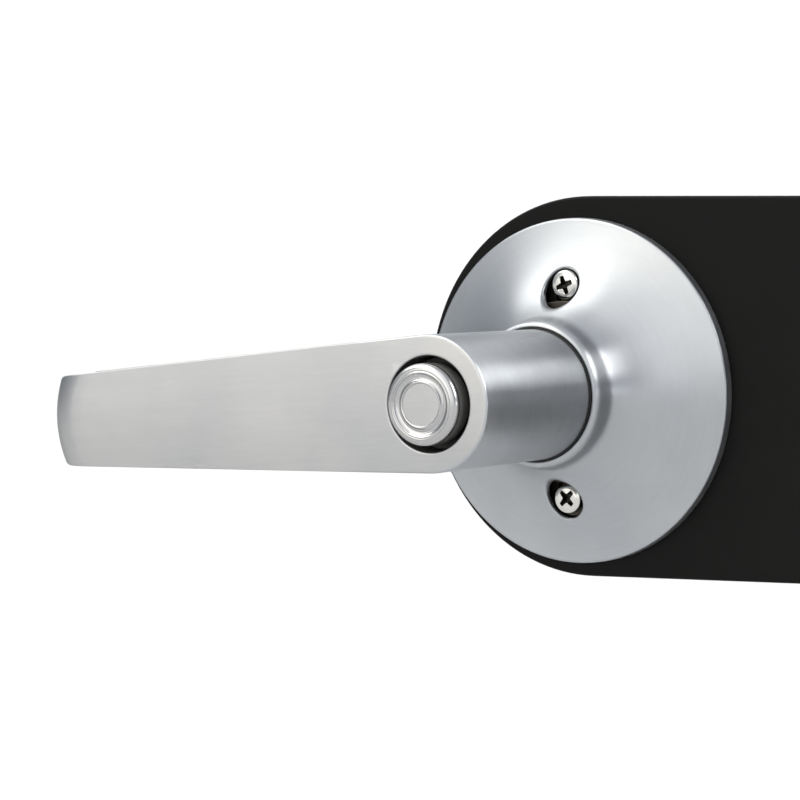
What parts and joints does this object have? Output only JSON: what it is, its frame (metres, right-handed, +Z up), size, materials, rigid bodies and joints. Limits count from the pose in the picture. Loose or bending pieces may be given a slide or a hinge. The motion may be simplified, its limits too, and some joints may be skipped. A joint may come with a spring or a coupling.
{
  "type": "door lever handle",
  "caption": "Door lever handle with a round dished rose, a hollow-necked tapering lever, a push button in its face, and the sprung works and fixings behind them.",
  "frame": {"origin": "where the spindle's axis meets the door's face, on the back of the door plate", "axes": "-Y points away from the door towards the hand, +Y into the door along the spindle, the lever runs to -X, the door plate runs to +X, +Z is up"},
  "size_m": [0.2382, 0.1242, 0.098],
  "materials": {
    "satin_metal": "satin, fine straight grain on the lever's face and round grain on its neck",
    "polished_chrome": "polished",
    "plated_screw": "bright zinc plate",
    "black_coating": "fine matt powder coat",
    "black_nylon": "moulded, matt",
    "cast_zinc": "as cast, dull",
    "bearing_bronze": "machined",
    "spring_steel": "drawn wire and strip, oiled",
    "plated_steel": "passivated zinc plate"
  },
  "bodies": {
    "base": {"backplate": "black_coating", "plate_screws": "black_coating", "rose": "satin_metal", "rose_clips": "spring_steel", "mounting_insert": "cast_zinc", "cage_cover": "plated_steel", "through_bolts": "plated_screw", "neck_bush": "black_nylon", "spindle_bearing": "bearing_bronze", "return_spring": "spring_steel", "wave_washer": "spring_steel"},
    "handle": {"lever": "satin_metal", "spindle": "plated_steel", "driver_cam": "cast_zinc", "cam_circlip": "spring_steel", "thrust_washer": "plated_steel", "button_guide": "black_nylon", "button_spring": "spring_steel", "stem_guide": "black_nylon", "catch_spring": "spring_steel"},
    "button": {"push_button": "polished_chrome", "button_stem": "plated_steel", "button_clip": "spring_steel"},
    "catch": {"lever_catch": "plated_steel"}
  },
  "joints": [
    {"name": "lever_turn", "type": "hinge", "parent": "base", "child": "handle", "pos_m": [0, 0, 0], "axis": [0, -1, 0], "range_deg": [-45, 45], "stiffness_Nm_per_rad": 2, "springref_deg": -3.4, "deforming": ["return_spring"]},
    {"name": "button_push", "type": "slide", "parent": "handle", "child": "button", "axis": [0, 1, 0], "range_m": [0, 0.003], "stiffness_N_per_m": 500, "springref_m": -0.003, "deforming": ["button_spring"]},
    {"name": "catch_press", "type": "slide", "parent": "handle", "child": "catch", "axis": [0, 0, 1], "range_m": [0, 0.003], "stiffness_N_per_m": 800, "springref_m": -0.001, "deforming": ["catch_spring"]}
  ]
}
